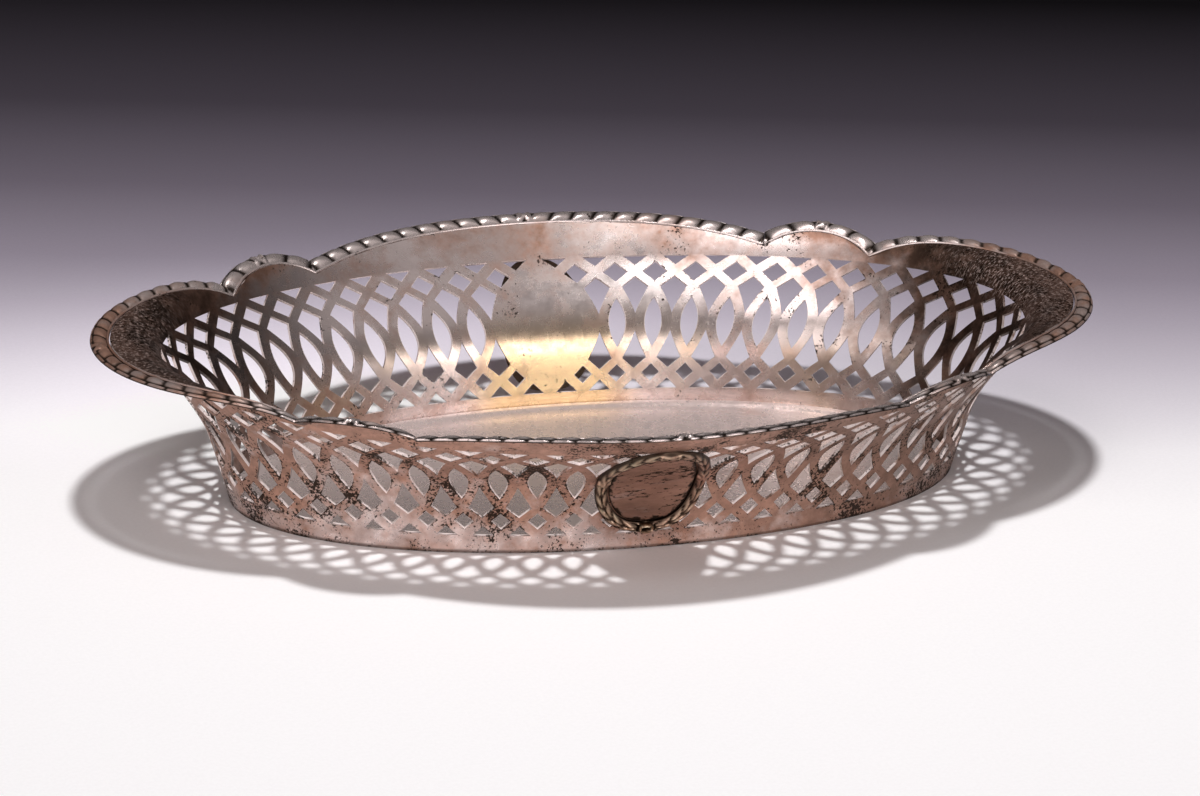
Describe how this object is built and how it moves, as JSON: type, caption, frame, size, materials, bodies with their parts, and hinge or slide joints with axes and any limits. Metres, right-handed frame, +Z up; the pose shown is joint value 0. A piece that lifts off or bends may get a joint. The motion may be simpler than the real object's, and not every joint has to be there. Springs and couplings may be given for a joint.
{
  "type": "pierced bowl",
  "caption": "Oval flared metal bread bowl with a sawn interlace wall, flat floor, lobed rim edged in laurel border, and a laurel wreath round a plain shield on each long side.",
  "frame": {"origin": "centre of the bowl's box on plan, on the plane the foot and floor stand on", "axes": "+X along the bowl's length, +Y across it, +Z up out of the bowl"},
  "size_m": [0.2998, 0.1874, 0.0525],
  "materials": {
    "wall": "worn silver sheet, grey-pink tarnish, darker at both ends",
    "floor": "worn silver sheet with fine scratches",
    "laurel": "bright worn crests, dark hollows",
    "wreath": "bright worn crests, dark hollows",
    "shield": "brown-black tarnish"
  },
  "bodies": {
    "root": {"wall": "wall", "floor": "floor", "border_end_right": "laurel", "border_corner_back_right": "laurel", "border_side_back": "laurel", "border_corner_back_left": "laurel", "border_end_left": "laurel", "border_corner_front_left": "laurel", "border_side_front": "laurel", "border_corner_front_right": "laurel", "wreath_front": "wreath", "wreath_back": "wreath", "shield_front": "shield", "shield_back": "shield"}
  },
  "joints": []
}
